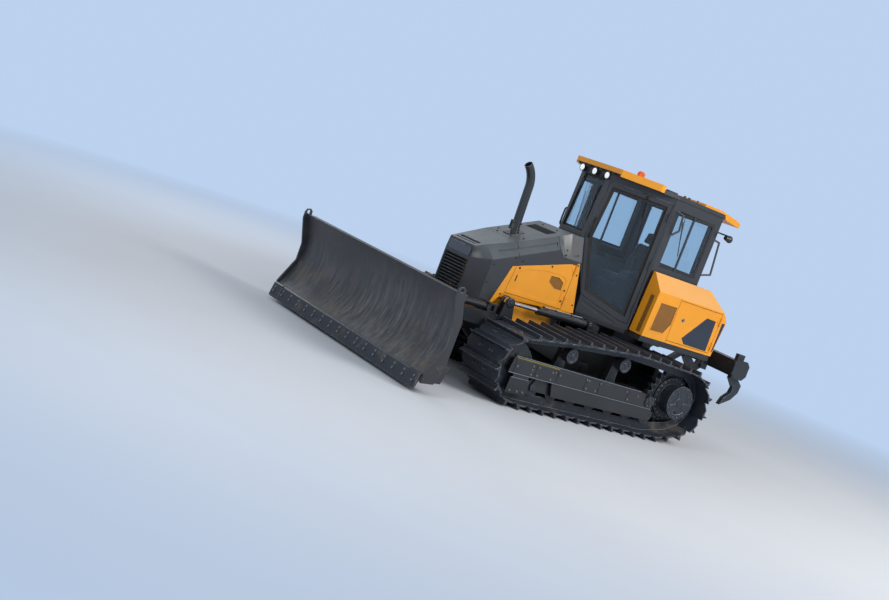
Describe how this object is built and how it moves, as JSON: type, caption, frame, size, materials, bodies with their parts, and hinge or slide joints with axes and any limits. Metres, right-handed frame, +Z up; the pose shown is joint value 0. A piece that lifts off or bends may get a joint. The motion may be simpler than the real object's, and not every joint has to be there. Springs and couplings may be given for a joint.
{
  "type": "tracked bulldozer",
  "caption": "Tracked bulldozer with a lifting, angling and tilting blade, a hexagonal cab and a raised parallelogram ripper.",
  "frame": {"origin": "on the ground below the middle of the machine", "axes": "+X forward, +Y to the machine's left, +Z up"},
  "size_m": [5.703, 3.35, 3.02],
  "materials": {
    "body_yellow": "gloss paint, dusty",
    "charcoal_paint": "satin paint",
    "black_steel": "satin paint, dusty",
    "track_steel": "worn, dusty",
    "blade_paint": "satin paint, worn edge",
    "chrome_rod": "polished",
    "engine_iron": "painted casting",
    "glass": "tinted",
    "seat_fabric": "woven",
    "cab_trim": "grained",
    "lamp_white": "lens",
    "beacon_amber": "lens",
    "exhaust_steel": "matt black",
    "rail_grey": "satin paint"
  },
  "bodies": {
    "machine": {"beacon": "beacon_amber", "cab_glass": "glass", "cab_shell": "charcoal_paint", "carrier_rollers": "track_steel", "controls": "cab_trim", "engine_block": "engine_iron", "exhaust": "exhaust_steel", "fuel_tank": "body_yellow", "grab_rails": "rail_grey", "grille": "black_steel", "hood": "charcoal_paint", "idlers": "track_steel", "lift_brackets": "black_steel", "main_frame": "body_yellow", "nose": "charcoal_paint", "platform": "black_steel", "rear_boxes": "body_yellow", "rear_lamps": "black_steel", "ripper_bracket": "black_steel", "roof_cap": "charcoal_paint", "roof_visors": "body_yellow", "seat": "seat_fabric", "seat_base": "cab_trim", "side_panels": "body_yellow", "sprockets": "track_steel", "track_frames": "black_steel", "track_left": "track_steel", "track_right": "track_steel", "track_rollers": "track_steel", "work_lamps": "lamp_white"},
    "c_frame": {"c_frame": "black_steel"},
    "blade_carrier": {"blade_carrier": "black_steel"},
    "blade": {"blade": "blade_paint", "blade_edge": "track_steel", "blade_ends": "blade_paint"},
    "lift_cylinder_left": {"lift_cylinder_left": "black_steel"},
    "lift_rod_left": {"lift_rod_left": "chrome_rod"},
    "lift_cylinder_right": {"lift_cylinder_right": "black_steel"},
    "lift_rod_right": {"lift_rod_right": "chrome_rod"},
    "angle_cylinder_left": {"angle_cylinder_left": "black_steel"},
    "angle_rod_left": {"angle_rod_left": "chrome_rod"},
    "angle_cylinder_right": {"angle_cylinder_right": "black_steel"},
    "angle_rod_right": {"angle_rod_right": "chrome_rod"},
    "tilt_cylinder": {"tilt_cylinder": "black_steel"},
    "tilt_rod": {"tilt_rod": "chrome_rod"},
    "cab_door_left": {"cab_door_left": "charcoal_paint", "cab_door_glass_left": "glass"},
    "cab_door_right": {"cab_door_right": "charcoal_paint", "cab_door_glass_right": "glass"},
    "engine_door_left": {"engine_door_left": "body_yellow"},
    "engine_door_right": {"engine_door_right": "body_yellow"},
    "rear_door_left": {"rear_door_left": "body_yellow"},
    "rear_door_right": {"rear_door_right": "body_yellow"},
    "ripper_lower_links": {"ripper_lower_links": "black_steel"},
    "ripper_beam": {"ripper_beam": "black_steel", "ripper_shanks": "track_steel"},
    "ripper_upper_links": {"ripper_upper_links": "black_steel"},
    "ripper_cylinder": {"ripper_cylinder": "black_steel"},
    "ripper_rod": {"ripper_rod": "chrome_rod"}
  },
  "joints": [
    {"name": "blade_lift", "type": "hinge", "parent": "machine", "child": "c_frame", "pos_m": [-0.3, 0, 0.52], "axis": [0, -1, 0], "range_deg": [-7.5, 15.5]},
    {"name": "blade_angle", "type": "hinge", "parent": "c_frame", "child": "blade_carrier", "pos_m": [2.3, 0, 0.4], "axis": [0, 0, 1], "range_deg": [-25, 25]},
    {"name": "blade_tilt", "type": "hinge", "parent": "blade_carrier", "child": "blade", "pos_m": [2.532, 0, 0.4], "axis": [1, 0, 0], "range_deg": [-6, 6]},
    {"name": "lift_cylinder_pivot_left", "type": "hinge", "parent": "machine", "child": "lift_cylinder_left", "pos_m": [-0.163, 0.56, 1.055], "axis": [0, -1, 0], "range_deg": [-9, 18.07]},
    {"name": "lift_rod_slide_left", "type": "slide", "parent": "lift_cylinder_left", "child": "lift_rod_left", "axis": [1, 0, -0.0098], "range_m": [-0.142, 0.07]},
    {"name": "angle_cylinder_pivot_left", "type": "hinge", "parent": "c_frame", "child": "angle_cylinder_left", "pos_m": [1.4, 0.545, 0.925], "axis": [0, 0, 1], "range_deg": [-4.62, 4.62]},
    {"name": "angle_rod_slide_left", "type": "slide", "parent": "angle_cylinder_left", "child": "angle_rod_left", "axis": [0.9973, 0.073, 0], "range_m": [-0.266, 0.266]},
    {"name": "lift_cylinder_pivot_right", "type": "hinge", "parent": "machine", "child": "lift_cylinder_right", "pos_m": [-0.163, -0.56, 1.055], "axis": [0, -1, 0], "range_deg": [-9, 18.07]},
    {"name": "lift_rod_slide_right", "type": "slide", "parent": "lift_cylinder_right", "child": "lift_rod_right", "axis": [1, 0, -0.0098], "range_m": [-0.142, 0.07]},
    {"name": "angle_cylinder_pivot_right", "type": "hinge", "parent": "c_frame", "child": "angle_cylinder_right", "pos_m": [1.4, -0.545, 0.925], "axis": [0, 0, 1], "range_deg": [-4.62, 4.62]},
    {"name": "angle_rod_slide_right", "type": "slide", "parent": "angle_cylinder_right", "child": "angle_rod_right", "axis": [0.9973, -0.073, 0], "range_m": [-0.266, 0.266]},
    {"name": "tilt_cylinder_pivot", "type": "hinge", "parent": "blade_carrier", "child": "tilt_cylinder", "pos_m": [2.532, -0.13, 0.905], "axis": [1, 0, 0], "range_deg": [-5.2, 5.2]},
    {"name": "tilt_rod_slide", "type": "slide", "parent": "tilt_cylinder", "child": "tilt_rod", "axis": [0, 1, 0], "range_m": [-0.055, 0.055]},
    {"name": "cab_door_hinge_left", "type": "hinge", "parent": "machine", "child": "cab_door_left", "pos_m": [-0.58854, 0.74108, 2], "axis": [0, 0, -1], "range_deg": [-100, 0]},
    {"name": "engine_door_hinge_left", "type": "hinge", "parent": "machine", "child": "engine_door_left", "pos_m": [0.259, 0.4604, 1.4], "axis": [0, 0, -1], "range_deg": [-95, 0]},
    {"name": "rear_door_hinge_left", "type": "hinge", "parent": "machine", "child": "rear_door_left", "pos_m": [-1.863, 1.0104, 1.45], "axis": [0, 0, -1], "range_deg": [-95, 0]},
    {"name": "cab_door_hinge_right", "type": "hinge", "parent": "machine", "child": "cab_door_right", "pos_m": [-0.58854, -0.74108, 2], "axis": [0, 0, 1], "range_deg": [-100, 0]},
    {"name": "engine_door_hinge_right", "type": "hinge", "parent": "machine", "child": "engine_door_right", "pos_m": [0.259, -0.4604, 1.4], "axis": [0, 0, 1], "range_deg": [-95, 0]},
    {"name": "rear_door_hinge_right", "type": "hinge", "parent": "machine", "child": "rear_door_right", "pos_m": [-1.863, -1.0104, 1.45], "axis": [0, 0, 1], "range_deg": [-95, 0]},
    {"name": "ripper_lift", "type": "hinge", "parent": "machine", "child": "ripper_lower_links", "pos_m": [-1.84, 0, 0.528], "axis": [0, 1, 0], "range_deg": [-76, 0]},
    {"name": "ripper_beam_pivot", "type": "hinge", "parent": "ripper_lower_links", "child": "ripper_beam", "pos_m": [-2.43101, 0, 0.98975], "axis": [0, 1, 0], "range_deg": [-0.5, 76.5]},
    {"name": "ripper_upper_link_pivot", "type": "hinge", "parent": "machine", "child": "ripper_upper_links", "pos_m": [-1.84, 0, 0.728], "axis": [0, 1, 0], "range_deg": [-76.5, 0.5]},
    {"name": "ripper_cylinder_pivot", "type": "hinge", "parent": "machine", "child": "ripper_cylinder", "pos_m": [-1.64, 0, 0.808], "axis": [0, 1, 0], "range_deg": [-39.06, 0.5]},
    {"name": "ripper_rod_slide", "type": "slide", "parent": "ripper_cylinder", "child": "ripper_rod", "axis": [-1, 0, -0.0012], "range_m": [-0.002, 0.281]}
  ],
  "couplings": [
    {"joint": "lift_cylinder_pivot_left", "follows": "blade_lift", "ratio": 1.1339},
    {"joint": "lift_rod_slide_left", "follows": "blade_lift", "m_per_rad": -0.51815},
    {"joint": "angle_cylinder_pivot_left", "follows": "blade_angle", "ratio": 0.1648},
    {"joint": "angle_rod_slide_left", "follows": "blade_angle", "m_per_rad": -0.60502},
    {"joint": "lift_cylinder_pivot_right", "follows": "blade_lift", "ratio": 1.1339},
    {"joint": "lift_rod_slide_right", "follows": "blade_lift", "m_per_rad": -0.51815},
    {"joint": "angle_cylinder_pivot_right", "follows": "blade_angle", "ratio": 0.1648},
    {"joint": "angle_rod_slide_right", "follows": "blade_angle", "m_per_rad": 0.60502},
    {"joint": "tilt_cylinder_pivot", "follows": "blade_tilt", "ratio": 0.78325},
    {"joint": "tilt_rod_slide", "follows": "blade_tilt", "m_per_rad": -0.50498},
    {"joint": "ripper_beam_pivot", "follows": "ripper_lift", "ratio": -1},
    {"joint": "ripper_upper_link_pivot", "follows": "ripper_lift", "ratio": 1},
    {"joint": "ripper_cylinder_pivot", "follows": "ripper_lift", "ratio": 0.50738},
    {"joint": "ripper_rod_slide", "follows": "ripper_lift", "m_per_rad": -0.20998}
  ]
}
